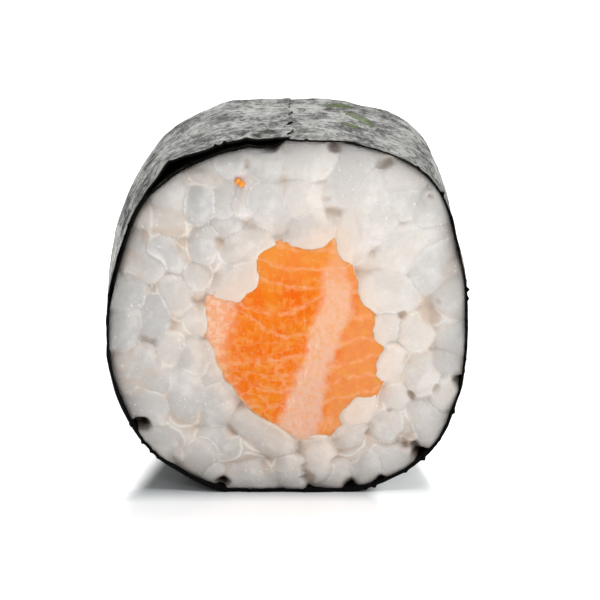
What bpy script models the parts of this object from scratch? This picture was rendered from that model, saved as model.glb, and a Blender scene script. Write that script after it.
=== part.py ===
"""One piece of salmon hosomaki: a sheet of nori rolled round rice, with a bar of salmon through the middle.

It lies as it is served, with a cut end towards -Y. Metres, +Z up, X across the cut end, Y along the roll.
The origin is on the ground, under the middle of the roll. Angles run from +X towards +Z, in degrees.
"""

import math
import random

import bmesh
import bpy
import numpy as np
from mathutils import Matrix, Vector, noise

MM = 0.001

# The roll
ROLL_LENGTH = 27.0 * MM
ROLL_MIDDLE = Vector((0.55 * MM, 0.0, 14.8 * MM))  # the radii below are measured from here
NORI_THICKNESS = 0.35 * MM
CLEARANCE = 0.25 * MM  # between any two pieces, and between the two turns of the nori

# Outer radius of the wrapped roll at each cut end, one value every 22.5 degrees
FRONT_RADII = [value * MM for value in (
    15.0, 15.5, 16.9, 16.0, 15.4, 15.8, 15.9, 15.1, 15.0, 15.6, 16.0, 15.8, 14.9, 15.9, 16.6, 15.7)]
BACK_RADII = [value * MM for value in (
    15.0, 15.4, 17.2, 16.1, 15.1, 16.0, 16.4, 16.1, 16.0, 16.5, 16.1, 15.7, 14.9, 15.9, 16.4, 15.4)]
BELLY = 0.2 * MM  # how far the roll swells between its two cut ends
WRINKLE = 0.14 * MM
WRINKLE_SIZE = 5.0 * MM

# The nori sheet: it goes once round, and its free end then lies over its start up to the seam
NORI_START = 168.0
NORI_SEAM = 89.0
UNDER_FLAP = (83.0, 89.0, 176.0, 200.0)  # the first turn lies deeper between the two inner angles
FLAP_CREASE = 0.8 * MM  # a sharp fold in the free end, which dies away towards the back
FLAP_CREASE_ANGLE = 126.0
FLAP_CREASE_WIDTH = 10.0
NORI_STEPS_AROUND = 86
NORI_STEPS_ALONG = 5
EDGE_WAVE = 0.22 * MM  # how unevenly the knife left the rim
EDGE_WAVE_SIZE = 3.5 * MM

# The salmon bar
SALMON_CENTRE = Vector((1.35 * MM, 0.0, 14.0 * MM))
SALMON_RADII = [value * MM for value in (
    7.1, 6.5, 6.8, 8.9, 8.0, 7.5, 7.4, 8.0, 7.7, 7.5, 7.4, 8.2, 9.4, 9.6, 9.0, 8.2)]
SALMON_TWIST = 14.0  # degrees, from the front cut to the back one
SALMON_DRIFT = Vector((-0.5 * MM, 0.0, 0.6 * MM))
SALMON_RECESS = 0.6 * MM
SALMON_STEPS_AROUND = 40
SALMON_STEPS_ALONG = 4
SALMON_RINGS = (  # share of the outline, and depth behind the cut face
    (0.97, 0.14 * MM), (0.86, 0.0), (0.68, 0.0), (0.48, 0.0), (0.26, 0.0))
SALMON_RIM_DEPTH = 0.5 * MM
FLAKE_RELIEF = 0.16 * MM
FLAKE_SPACING = 2.3 * MM
FLAKE_TILT = 14.0

# The rice
RICE_RECESS = 0.3 * MM
CORE_DEPTH = 1.4 * MM  # the solid core lies this far behind each cut face
CORE_UNEVENNESS = 0.4 * MM
CORE_OVERSIZE = 1.0 * MM
RICE_STEPS_AROUND = 48
RICE_STEPS_ALONG = 2
CORE_END_RINGS = 3
GRAIN_LENGTHS = (5.8 * MM, 3.0 * MM)  # as they show: the longest first, then those that are cut short
GRAIN_WIDTHS = (2.7 * MM, 2.1 * MM)
GRAIN_DEPTHS = (0.45 * MM, 1.05 * MM)  # from the cut face to the middle of a grain
GRAIN_TILT = 22.0
GRAIN_SIDES = 6
GRAIN_FLATTENING = 0.94
GRAIN_LOW_POLY_GAIN = 1.09  # a few-sided grain is drawn this much larger, to keep its volume
GRAIN_LEVELS = (-45.0, 0.0, 45.0)
PACKING_TRIES = 9000
PACKING_CLOSENESS = (0.92, 0.62)  # least distance between two grains in widths, at first and at last
RICE_FACES_KEPT = 0.63
FRONT_SEED = 41
BACK_SEED = 87

# The grains that stand out on the front cut, in millimetres and degrees: x and z of the middle,
# the length and width that show, and how the grain leans in the cut face
STANDOUT_GRAINS = (
    (-1.5, 4.9, 5.8, 2.4, -33), (3.2, 3.1, 3.9, 2.3, 97), (0.6, 1.7, 2.6, 2.3, 80), (4.6, 1.6, 2.8, 2.3, 0),
    (9.5, 2.4, 4.4, 2.5, -10), (12.3, 6.0, 4.7, 2.2, -66), (14.0, 7.9, 3.4, 2.0, 80),
    (13.8, 10.9, 2.7, 2.4, 0), (11.7, 10.3, 3.7, 2.3, 92), (9.3, 10.8, 3.6, 2.6, 78),
    (11.3, 13.9, 3.3, 2.5, -55), (8.9, 14.0, 3.1, 2.3, 85), (9.0, 17.0, 5.0, 2.8, -12),
    (8.9, 5.7, 3.1, 2.4, 75), (6.9, 7.2, 3.9, 2.1, 22), (5.8, 4.7, 3.4, 2.4, 58),
    (10.7, 25.1, 3.0, 2.6, -60), (2.6, 22.5, 3.4, 2.7, 10), (-2.9, 21.2, 4.4, 2.4, 32),
    (-4.4, 18.4, 3.3, 2.2, 28), (-7.0, 14.6, 2.0, 1.9, 0), (-8.7, 16.7, 3.8, 2.7, -65),
    (-10.7, 15.3, 3.8, 2.3, 97), (-12.9, 14.8, 4.3, 2.3, 85), (-6.4, 21.3, 3.3, 2.3, 88),
    (-6.8, 24.5, 3.2, 2.6, 75), (-4.4, 25.4, 3.9, 2.1, 75), (2.1, 28.4, 4.2, 2.7, 5),
    (-9.8, 4.4, 3.1, 2.4, -10), (-11.1, 7.5, 3.3, 2.4, -40), (-5.2, 7.7, 4.0, 2.7, 80),
    (-6.9, 11.9, 3.1, 2.3, 80),
)


def around(values, angle):
    """A smooth closed curve through evenly spaced values, read at an angle in degrees."""
    place = (angle % 360.0) / 360.0 * len(values)
    first = int(place)
    share = place - first
    before, start, end, after = (values[(first + step) % len(values)] for step in (-1, 0, 1, 2))
    slope_in = (end - before) / 2
    slope_out = (after - start) / 2
    rise = end - start
    curve = share * share * (3 * rise - 2 * slope_in - slope_out)
    return start + share * slope_in + curve + share ** 3 * (slope_in + slope_out - 2 * rise)


def smooth_step(low, high, value):
    share = min(1.0, max(0.0, (value - low) / (high - low)))
    return share * share * (3 - 2 * share)


def roll_point(angle, along, inset):
    """A point on the roll's skin, moved inwards by inset. along runs from 0 at the front to 1."""
    radius = around(FRONT_RADII, angle)
    radius += (around(BACK_RADII, angle) - radius) * smooth_step(0.0, 0.8, along)
    radius += BELLY * math.sin(math.pi * along)
    turn = math.radians(angle)
    facing = Vector((math.cos(turn), 0.0, math.sin(turn)))
    middle = ROLL_MIDDLE + Vector((0.0, (along - 0.5) * ROLL_LENGTH, 0.0))
    radius += WRINKLE * noise.noise((middle + facing * radius) / WRINKLE_SIZE)
    point = middle + facing * (radius - inset)
    point.z = max(point.z, inset)  # the roll has settled on a flat foot
    return point


def first_turn_inset(angle):
    """How deep the first turn of the nori lies below the skin, to make room for the free end."""
    angle %= 360.0
    rise, full, fall, end = UNDER_FLAP
    share = smooth_step(rise, full, angle) * (1 - smooth_step(fall, end, angle))
    return (NORI_THICKNESS + CLEARANCE) * share


def salmon_point(angle, along, share, growth=0.0):
    """A point of the salmon bar's section, at a share of its radius, with the outline grown by growth."""
    radius = (around(SALMON_RADII, angle - SALMON_TWIST * along) + growth) * share
    turn = math.radians(angle)
    point = SALMON_CENTRE + SALMON_DRIFT * along
    return point + Vector((math.cos(turn), 0.0, math.sin(turn))) * radius


def new_object(name, mesh_data, material):
    mesh_data.normal_update()
    bmesh.ops.recalc_face_normals(mesh_data, faces=mesh_data.faces)
    mesh = bpy.data.meshes.new(name)
    mesh_data.to_mesh(mesh)
    mesh_data.free()
    mesh.shade_smooth()
    mesh.set_sharp_from_angle(angle=math.radians(50))
    obj = bpy.data.objects.new(name, mesh)
    bpy.context.scene.collection.objects.link(obj)
    mesh.materials.append(material)
    return obj


def plain_material(name, colour, roughness):
    material = bpy.data.materials.new(name)
    material.use_nodes = True
    surface = material.node_tree.nodes["Principled BSDF"]
    surface.inputs["Base Color"].default_value = (*colour, 1.0)
    surface.inputs["Roughness"].default_value = roughness
    surface.inputs["Metallic"].default_value = 0.0
    return material


def join_rows(mesh_data, first, second, closed):
    """Faces between two rows of vertices; each quad is split the same way."""
    count = len(first)
    for i in range(count if closed else count - 1):
        j = (i + 1) % count
        mesh_data.faces.new((first[i], first[j], second[j]))
        mesh_data.faces.new((first[i], second[j], second[i]))


# ---- nori

def nori_inset(turned, along):
    """How deep the sheet's outer face lies below the roll's skin, after turning this far."""
    angle = NORI_START - turned
    if turned < 180.0:
        return first_turn_inset(angle)
    off_crease = (angle + 360.0 - FLAP_CREASE_ANGLE) / FLAP_CREASE_WIDTH
    if abs(off_crease) > 1.0:
        return 0.0
    return -FLAP_CREASE * (1 - abs(off_crease)) ** 1.5 * (1 - smooth_step(0.0, 0.7, along))


def nori_edge(turned, end):
    """How far the knife's uneven cut lies behind the full length of the roll."""
    place = Vector((math.radians(turned) * ROLL_MIDDLE.z / EDGE_WAVE_SIZE, end * 9.0, 0.0))
    return EDGE_WAVE * (0.5 + noise.noise(place))


def make_nori():
    whole_turn = 360.0 + NORI_START - NORI_SEAM
    mesh_data = bmesh.new()
    rows = []
    for j in range(NORI_STEPS_ALONG + 1):
        along = j / NORI_STEPS_ALONG
        outer, inner = [], []
        for i in range(NORI_STEPS_AROUND + 1):
            turned = whole_turn * i / NORI_STEPS_AROUND
            inset = nori_inset(turned, along)
            edge = nori_edge(turned, 0) * (1 - along) - nori_edge(turned, 1) * along
            for row, depth in ((outer, 0.0), (inner, NORI_THICKNESS)):
                point = roll_point(NORI_START - turned, along, depth + inset)
                point.y += edge
                row.append(mesh_data.verts.new(point))
        rows.append((outer, inner))
    for (outer, inner), (next_outer, next_inner) in zip(rows, rows[1:]):
        join_rows(mesh_data, outer, next_outer, closed=False)
        join_rows(mesh_data, inner, next_inner, closed=False)
        for end in (0, -1):
            mesh_data.faces.new((outer[end], next_outer[end], next_inner[end], inner[end]))
    for outer, inner in (rows[0], rows[-1]):
        join_rows(mesh_data, outer, inner, closed=False)
    return new_object("nori", mesh_data, plain_material("nori", (0.020, 0.026, 0.018), 0.5))


# ---- salmon

def flake_relief(point):
    """The low ridges of the muscle layers across the cut face of the fish."""
    tilt = math.radians(FLAKE_TILT)
    across = point.x * math.sin(tilt) + point.z * math.cos(tilt)
    return FLAKE_RELIEF * (1 - abs(math.sin(math.pi * across / FLAKE_SPACING)))


def make_salmon():
    mesh_data = bmesh.new()
    angles = [360.0 * i / SALMON_STEPS_AROUND for i in range(SALMON_STEPS_AROUND)]
    half = ROLL_LENGTH / 2 - SALMON_RECESS

    def section(along, share, y, relief=0.0):
        ring = []
        for angle in angles:
            point = salmon_point(angle, along, share)
            point.y = y + relief * flake_relief(point)
            ring.append(mesh_data.verts.new(point))
        return ring

    body = []
    for j in range(SALMON_STEPS_ALONG + 1):
        along = j / SALMON_STEPS_ALONG
        body.append(section(along, 1.0, (2 * along - 1) * (half - SALMON_RIM_DEPTH)))
    for first, second in zip(body, body[1:]):
        join_rows(mesh_data, first, second, closed=True)
    for along, last, facing in ((0.0, body[0], -1), (1.0, body[-1], 1)):
        for share, depth in SALMON_RINGS:
            ring = section(along, share, facing * (half - depth), -facing * share)
            join_rows(mesh_data, last, ring, closed=True)
            last = ring
        middle = salmon_point(0.0, along, 0.0)
        middle.y = facing * (half - flake_relief(middle) / 2)
        tip = mesh_data.verts.new(middle)
        for i, vertex in enumerate(last):
            mesh_data.faces.new((vertex, last[(i + 1) % len(last)], tip))
    return new_object("salmon", mesh_data, plain_material("salmon", (0.90, 0.27, 0.055), 0.35))


# ---- rice

def rice_wall(angle, along, oversize=0.0):
    """A point where the rice ends, just inside the first turn of the nori."""
    return roll_point(angle, along, first_turn_inset(angle) + NORI_THICKNESS + CLEARANCE - oversize)


def ring_tube(half_length, oversize, unevenness=0.0):
    """The space between the salmon and the nori, as a closed tube. oversize thickens its wall both ways."""
    mesh_data = bmesh.new()
    angles = [360.0 * i / RICE_STEPS_AROUND for i in range(RICE_STEPS_AROUND)]

    def ring(y, share):
        """A closed row of points, from share 0 at the salmon to share 1 at the nori."""
        along = y / ROLL_LENGTH + 0.5
        row = []
        for angle in angles:
            inner = salmon_point(angle, along, 1.0, CLEARANCE - oversize)
            inner.y = y
            point = inner.lerp(rice_wall(angle, along, oversize), share)
            point.y += unevenness * noise.noise(point / GRAIN_WIDTHS[0])
            row.append(mesh_data.verts.new(point))
        return row

    levels = [(2 * j / RICE_STEPS_ALONG - 1) * half_length for j in range(RICE_STEPS_ALONG + 1)]
    shares = [k / CORE_END_RINGS for k in range(CORE_END_RINGS + 1)]
    front = [ring(levels[0], share) for share in shares]
    back = [ring(levels[-1], share) for share in shares]
    walls = [[ring(y, share) for y in levels[1:-1]] for share in (0.0, 1.0)]
    for rows in (front, back, [front[0], *walls[0], back[0]], [front[-1], *walls[1], back[-1]]):
        for first, second in zip(rows, rows[1:]):
            join_rows(mesh_data, first, second, closed=True)
    return mesh_data


def grain_direction(lean, tilt):
    """The long axis of a grain, from its angle in the cut face and its tilt into the roll."""
    lean, tilt = math.radians(lean), math.radians(tilt)
    return Vector((math.cos(lean) * math.cos(tilt), math.sin(tilt), math.sin(lean) * math.cos(tilt)))


def standout_grains():
    grains = []
    for x, z, length, width, lean in STANDOUT_GRAINS:
        centre = Vector((x * MM, 0.32 * width * MM, z * MM))
        grains.append((centre, grain_direction(lean, 0.0), length * MM, width * MM))
    return grains


def random_grain(rng, share):
    """A grain at its depth y behind the cut face. share runs from 0 for the first to 1 for the last."""
    reach = max(FRONT_RADII)
    centre = ROLL_MIDDLE + Vector((rng.uniform(-reach, reach), 0.0, rng.uniform(-reach, reach)))
    centre.y = rng.uniform(*GRAIN_DEPTHS)
    direction = grain_direction(rng.uniform(0, 180), rng.gauss(0, GRAIN_TILT))
    length = GRAIN_LENGTHS[0] + (GRAIN_LENGTHS[1] - GRAIN_LENGTHS[0]) * share
    width = GRAIN_WIDTHS[0] + (GRAIN_WIDTHS[1] - GRAIN_WIDTHS[0]) * share
    return (centre, direction, length * rng.uniform(0.9, 1.1), width * rng.uniform(0.9, 1.1))


def in_rice(grain, along):
    """Whether a grain's middle lies far enough inside the ring of rice."""
    centre, _, _, width = grain
    from_middle = Vector((centre.x - ROLL_MIDDLE.x, 0.0, centre.z - ROLL_MIDDLE.z))
    wall = rice_wall(math.degrees(math.atan2(from_middle.z, from_middle.x)), along) - ROLL_MIDDLE
    if from_middle.length > math.hypot(wall.x, wall.z) - 0.25 * width:
        return False
    fish_middle = salmon_point(0.0, along, 0.0)
    from_fish = Vector((centre.x - fish_middle.x, 0.0, centre.z - fish_middle.z))
    angle = math.degrees(math.atan2(from_fish.z, from_fish.x))
    edge = salmon_point(angle, along, 1.0) - fish_middle
    return from_fish.length > math.hypot(edge.x, edge.z) + 0.2 * width


def beads(grain):
    """Three points along a grain as it shows in the cut face, which stand for it between others."""
    centre, direction, length, width = grain
    reach = direction * (length - width) / 2
    return np.array([(spot.x, spot.z) for spot in (centre - reach, centre, centre + reach)])


def pack_grains(seed, along, grains):
    """Drops random grains between those already there, shorter and closer as the ring fills."""
    rng = random.Random(seed)
    spots = [beads(grain) for grain in grains]
    widths = [grain[3] for grain in grains]
    for attempt in range(PACKING_TRIES):
        share = attempt / PACKING_TRIES
        grain = random_grain(rng, share)
        if not in_rice(grain, along):
            continue
        spot = beads(grain)
        if spots:
            apart = np.linalg.norm(np.array(spots)[:, :, None] - spot[None, None], axis=3)
            closeness = PACKING_CLOSENESS[0] + (PACKING_CLOSENESS[1] - PACKING_CLOSENESS[0]) * share
            if (apart.min(axis=(1, 2)) < closeness * (np.array(widths) + grain[3]) / 2).any():
                continue
        grains.append(grain)
        spots.append(spot)
        widths.append(grain[3])
    return grains


def grain_object(grain, facing, group):
    centre, direction, length, width = grain
    mesh_data = bmesh.new()
    half = Vector((width * GRAIN_FLATTENING, width, length)) / 2 * GRAIN_LOW_POLY_GAIN
    tips = [mesh_data.verts.new((0.0, 0.0, side * half.z)) for side in (-1, 1)]
    rings = []
    for level in GRAIN_LEVELS:
        flare, height = math.cos(math.radians(level)) ** 0.8, math.sin(math.radians(level))
        ring = []
        for i in range(GRAIN_SIDES):
            turn = math.tau * i / GRAIN_SIDES
            ring.append(mesh_data.verts.new(
                (half.x * flare * math.cos(turn), half.y * flare * math.sin(turn), half.z * height)))
        rings.append(ring)
    for first, second in zip(rings, rings[1:]):
        join_rows(mesh_data, first, second, closed=True)
    for tip, ring in ((tips[0], rings[0]), (tips[1], rings[-1])):
        for i, vertex in enumerate(ring):
            mesh_data.faces.new((vertex, ring[(i + 1) % GRAIN_SIDES], tip))
    upright = direction.to_track_quat("Z", "X").to_matrix().to_4x4()
    place = Vector((centre.x, facing * (ROLL_LENGTH / 2 - RICE_RECESS - centre.y), centre.z))
    mesh_data.transform(Matrix.Diagonal((1, -facing, 1, 1)) @ upright)
    mesh_data.transform(Matrix.Translation(place))
    bmesh.ops.recalc_face_normals(mesh_data, faces=mesh_data.faces)
    mesh = bpy.data.meshes.new("grain")
    mesh_data.to_mesh(mesh)
    mesh_data.free()
    obj = bpy.data.objects.new("grain", mesh)
    group.objects.link(obj)


def apply_modifiers(obj):
    bpy.context.view_layer.update()
    graph = bpy.context.evaluated_depsgraph_get()
    mesh = bpy.data.meshes.new_from_object(obj.evaluated_get(graph))
    obj.modifiers.clear()
    obj.data = mesh


def apply_boolean(obj, operation, other):
    """Joins obj with a collection, or keeps what lies within an object, and removes the helpers."""
    modifier = obj.modifiers.new(operation.lower(), "BOOLEAN")
    modifier.operation = operation
    modifier.solver = "MANIFOLD"
    if isinstance(other, bpy.types.Collection):
        modifier.operand_type = "COLLECTION"
        modifier.collection = other
        helpers = list(other.objects)
    else:
        modifier.object = other
        helpers = [other]
    apply_modifiers(obj)
    for helper in helpers:
        bpy.data.objects.remove(helper)


def keep_largest_body(obj):
    """Drops the scraps of grain that the knife has cut loose."""
    mesh_data = bmesh.new()
    mesh_data.from_mesh(obj.data)
    bodies, seen = [], set()
    for vertex in mesh_data.verts:
        if vertex in seen:
            continue
        body, waiting = [], [vertex]
        seen.add(vertex)
        while waiting:
            current = waiting.pop()
            body.append(current)
            for edge in current.link_edges:
                other = edge.other_vert(current)
                if other not in seen:
                    seen.add(other)
                    waiting.append(other)
        bodies.append(body)
    bodies.sort(key=len)
    for body in bodies[:-1]:
        bmesh.ops.delete(mesh_data, geom=body, context="VERTS")
    mesh_data.to_mesh(obj.data)
    mesh_data.free()


def make_rice():
    half = ROLL_LENGTH / 2 - RICE_RECESS
    material = plain_material("rice", (0.86, 0.84, 0.79), 0.45)
    core = ring_tube(half - CORE_DEPTH, CORE_OVERSIZE, CORE_UNEVENNESS)
    rice = new_object("rice", core, material)
    group = bpy.data.collections.new("grains")
    bpy.context.scene.collection.children.link(group)
    for seed, along, facing, first in (
            (FRONT_SEED, 0.0, -1, standout_grains()), (BACK_SEED, 1.0, 1, [])):
        for grain in pack_grains(seed, along, first):
            grain_object(grain, facing, group)
    apply_boolean(rice, "UNION", group)
    bpy.data.collections.remove(group)
    # The knife's two cuts, the nori and the salmon bound the rice
    space = new_object("space", ring_tube(half, 0.0), material)
    apply_boolean(rice, "INTERSECT", space)
    keep_largest_body(rice)
    thinning = rice.modifiers.new("thinning", "DECIMATE")  # the cuts leave more faces than the form needs
    thinning.ratio = RICE_FACES_KEPT
    apply_modifiers(rice)
    rice.data.materials.clear()
    rice.data.materials.append(material)
    rice.data.shade_smooth()
    rice.data.set_sharp_from_angle(angle=math.radians(50))
    return rice


for leftover in list(bpy.data.objects):
    bpy.data.objects.remove(leftover)
make_nori()
make_salmon()
make_rice()
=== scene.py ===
import math
import random

import bpy
import numpy as np
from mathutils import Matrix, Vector, noise


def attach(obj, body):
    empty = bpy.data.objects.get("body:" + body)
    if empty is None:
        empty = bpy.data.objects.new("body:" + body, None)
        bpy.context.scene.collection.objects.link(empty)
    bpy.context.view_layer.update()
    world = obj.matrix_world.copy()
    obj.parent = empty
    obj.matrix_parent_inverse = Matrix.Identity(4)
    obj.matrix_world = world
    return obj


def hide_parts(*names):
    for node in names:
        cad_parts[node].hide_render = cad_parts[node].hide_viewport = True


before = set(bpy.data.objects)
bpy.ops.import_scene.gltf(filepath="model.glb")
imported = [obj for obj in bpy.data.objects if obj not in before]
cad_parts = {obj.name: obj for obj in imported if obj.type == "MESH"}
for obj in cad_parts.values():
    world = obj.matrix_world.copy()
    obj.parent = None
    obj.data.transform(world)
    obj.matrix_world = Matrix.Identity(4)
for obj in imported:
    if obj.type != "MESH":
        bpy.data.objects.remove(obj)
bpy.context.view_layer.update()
mm = 0.001  # everything below is worked out in millimetres and scaled when a mesh is made
print("frame loaded:", ", ".join(sorted(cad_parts)))


# Small tools for shapes

def smoothStep(low, high, value):
    share = np.clip((value - low) / (high - low), 0.0, 1.0)
    return share * share * (3 - 2 * share)


def around(values, degrees):
    # a smooth closed curve through evenly spaced values
    values = np.asarray(values, float)
    place = np.mod(degrees, 360.0) / 360.0 * len(values)
    first = np.floor(place).astype(int)
    share = place - first
    before, start, end, after = (values[(first + step) % len(values)] for step in (-1, 0, 1, 2))
    slopeIn = (end - before) / 2
    slopeOut = (after - start) / 2
    rise = end - start
    curve = share * share * (3 * rise - 2 * slopeIn - slopeOut)
    return start + share * slopeIn + curve + share ** 3 * (slopeIn + slopeOut - 2 * rise)


def facing(degrees):
    turn = np.radians(degrees)
    return np.stack([np.cos(turn), np.zeros_like(turn), np.sin(turn)], axis=-1)


def softNoise(points, size, shift=0.0):
    # smooth noise between about -1 and 1 at each point
    flat = np.reshape(points, (-1, 3)) / size + shift
    return np.array([noise.noise(Vector(spot)) for spot in flat]).reshape(np.shape(points)[:-1])


def spot(x, z, centre, radius):
    # 1 at a centre, falling softly to 0
    return np.exp(-((x - centre[0]) ** 2 + (z - centre[1]) ** 2) / (2 * radius ** 2))


def gridFaces(rows, columns, closeRows, closeColumns):
    i, j = np.meshgrid(np.arange(rows - (not closeRows)), np.arange(columns - (not closeColumns)),
                       indexing="ij")
    below, beside = (i + 1) % rows, (j + 1) % columns
    corners = (i * columns + j, i * columns + beside, below * columns + beside, below * columns + j)
    return np.stack(corners, axis=-1).reshape(-1, 4).tolist()


def ringFaces(rings, columns):
    # closed rings with a middle point at either end; the two points come after those of the rings
    faces = gridFaces(rings, columns, False, True)
    for tip, ring, order in ((rings * columns, 0, 1), (rings * columns + 1, rings - 1, -1)):
        for j in range(columns):
            faces.append([tip, ring * columns + (j + 1) % columns, ring * columns + j][::order])
    return faces


def facesOut(points, faces):
    # turns all the faces round if they enclose a negative volume
    volume = 0.0
    for size in (3, 4):
        group = np.array([face for face in faces if len(face) == size])
        for k in range(1, size - 1):
            if len(group):
                a, b, c = (points[group[:, corner]] for corner in (0, k, k + 1))
                volume += np.einsum("ij,ij->", a, np.cross(b, c))
    return faces if volume > 0 else [face[::-1] for face in faces]


def addObject(name, data):
    made = bpy.data.objects.new(name, data)
    bpy.context.scene.collection.objects.link(made)
    return made


def buildPiece(name, points, faces, material, nodeName=None, values=None, sharpAngle=None):
    # one mesh from points in millimetres, with its painted values, riding on the roll
    points = np.reshape(points, (-1, 3))
    mesh = bpy.data.meshes.new(name)
    mesh.from_pydata((points * mm).tolist(), [], facesOut(points, faces))
    for valueName, numbers in (values or {}).items():
        isVector = np.size(numbers) > len(points)
        kind, field = ("FLOAT_VECTOR", "vector") if isVector else ("FLOAT", "value")
        layer = mesh.attributes.new(valueName, kind, "POINT")
        layer.data.foreach_set(field, np.ravel(numbers).astype(np.float32))
    mesh.shade_smooth()
    if sharpAngle:
        mesh.set_sharp_from_angle(angle=math.radians(sharpAngle))
    mesh.materials.append(material)
    piece = addObject(name, mesh)
    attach(piece, "root")
    if nodeName:
        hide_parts(nodeName)
    print(f"{name}: {len(points)} points")


# Small tools for materials

def setInputs(node, values):
    # gives each input a plain value, or joins it to another node's output
    for name, value in values.items():
        if isinstance(value, bpy.types.NodeSocket):
            node.id_data.links.new(value, node.inputs[name])
        else:
            node.inputs[name].default_value = value


def addNode(tree, kind, inputs=None, **settings):
    made = tree.nodes.new("ShaderNode" + kind)
    for name, value in settings.items():
        setattr(made, name, value)
    setInputs(made, inputs or {})
    return made


def newMaterial(name, values):
    material = bpy.data.materials.new(name)
    material.use_nodes = True
    tree = material.node_tree
    surface = tree.nodes["Principled BSDF"]
    setInputs(surface, values)
    return material, tree, surface


def painted(tree, valueName):
    return addNode(tree, "Attribute", attribute_name=valueName).outputs["Fac"]


def follow(kind, inputs, **settings):
    # the outputs of a new node, made in the tree of those that feed it
    tree = next(value.id_data for value in inputs.values() if isinstance(value, bpy.types.NodeSocket))
    return addNode(tree, kind, inputs, **settings).outputs


def vectorMath(operation, first, second):
    return follow("VectorMath", {0: first, 1: second}, operation=operation)[0]


def stretched(vector, factors):
    return vectorMath("MULTIPLY", vector, factors)


def millimetres(tree):
    return stretched(addNode(tree, "TexCoord").outputs["Object"], (1 / mm,) * 3)


def calculate(operation, *values):
    return follow("Math", dict(enumerate(values)), operation=operation)[0]


def times(first, second):
    return calculate("MULTIPLY", first, second)


def timesPlus(value, factor, added):
    return calculate("MULTIPLY_ADD", value, factor, added)


def between(value, low, high, first=0.0, last=1.0):
    # runs smoothly from first to last as the value goes from low to high
    limits = {"From Min": low, "From Max": high, "To Min": first, "To Max": last}
    return follow("MapRange", {"Value": value, **limits}, interpolation_type="SMOOTHSTEP")["Result"]


def layered(colour, *layers):
    # lays colours over the first one, each as strongly as its share says
    for share, over in layers:
        lower, upper = ((*each, 1.0) if isinstance(each, tuple) else each for each in (colour, over))
        colour = follow("Mix", {0: share, 6: lower, 7: upper}, data_type="RGBA")[2]
    return colour


def clouds(vector, scale, detail, roughness=0.5):
    values = {"Vector": vector, "Scale": scale, "Detail": detail, "Roughness": roughness}
    return follow("TexNoise", values)


def cloud(vector, size, detail=3.0, roughness=0.5):
    return clouds(vector, 1 / size, detail, roughness)["Fac"]


def waver(vector, size, strength, detail=5.0, roughness=0.5):
    # the same clouds about 0, to make an edge or a line uneven
    return timesPlus(cloud(vector, size, detail, roughness), strength, -strength / 2)


def drifted(place, size, strength):
    # moves a texture about, so that its cells lose their straight sides
    centred = vectorMath("SUBTRACT", clouds(place, 1 / size, 3.0)["Color"], (0.5, 0.5, 0.5))
    return vectorMath("ADD", place, stretched(centred, (strength,) * 3))


def bumped(height, strength, depth):
    return follow("Bump", {"Height": height, "Strength": strength, "Distance": depth * mm})["Normal"]


def newGroup(name, numbers, results):
    # a group that takes a vector and some numbers, with the values they have unless told otherwise
    group = bpy.data.node_groups.new(name, "ShaderNodeTree")
    group.interface.new_socket("Vector", in_out="INPUT", socket_type="NodeSocketVector")
    for label, value in numbers.items():
        socket = group.interface.new_socket(label, in_out="INPUT", socket_type="NodeSocketFloat")
        socket.default_value = value
    for label in results:
        group.interface.new_socket(label, in_out="OUTPUT", socket_type="NodeSocketFloat")
    return group, group.nodes.new("NodeGroupInput").outputs, group.nodes.new("NodeGroupOutput")


def makeMottling():
    # soft clouds of tone in two sizes, for anything grown rather than made
    group, given, result = newGroup("mottling", {"Size": 1.0, "Contrast": 1.0}, ("Broad", "Fine"))
    for label, shrink, detail in (("Broad", 1.0, 3.0), ("Fine", 4.5, 4.0)):
        scale = calculate("DIVIDE", shrink, given["Size"])
        centred = calculate("SUBTRACT", clouds(given["Vector"], scale, detail, 0.55)["Fac"], 0.5)
        spread = times(centred, times(given["Contrast"], 2.0))
        made = follow("Math", {0: spread, 1: 0.5}, operation="ADD", use_clamp=True)
        setInputs(result, {label: made[0]})
    return group


def makeMoistSkin():
    # the beads and film of water that make cut food glisten
    numbers = {"Bead Size": 0.3, "Beads": 0.3, "Ripple": 0.5}
    group, given, result = newGroup("moistSkin", numbers, ("Height", "Wet"))
    scale = calculate("DIVIDE", 1.0, given["Bead Size"])
    cells = follow("TexVoronoi", {"Vector": given["Vector"], "Scale": scale})
    bead = between(cells["Distance"], 0.08, 0.42, 1.0, 0.0)
    chosen = follow("SeparateColor", {"Color": cells["Color"]})["Red"]
    wet = times(bead, calculate("LESS_THAN", chosen, given["Beads"]))
    ripples = clouds(given["Vector"], scale, 4.0, 0.6)["Fac"]
    height = timesPlus(ripples, given["Ripple"], times(wet, 0.6))
    setInputs(result, {"Height": height, "Wet": wet})
    return group


mottling = makeMottling()
moistSkin = makeMoistSkin()


def mottled(place, size, contrast):
    return follow("Group", {"Vector": place, "Size": size, "Contrast": contrast}, node_tree=mottling)


def moistened(place, beadSize, beads, ripple):
    values = {"Vector": place, "Bead Size": beadSize, "Beads": beads, "Ripple": ripple}
    return follow("Group", values, node_tree=moistSkin)


# The roll's own form, which the three pieces share

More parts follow.
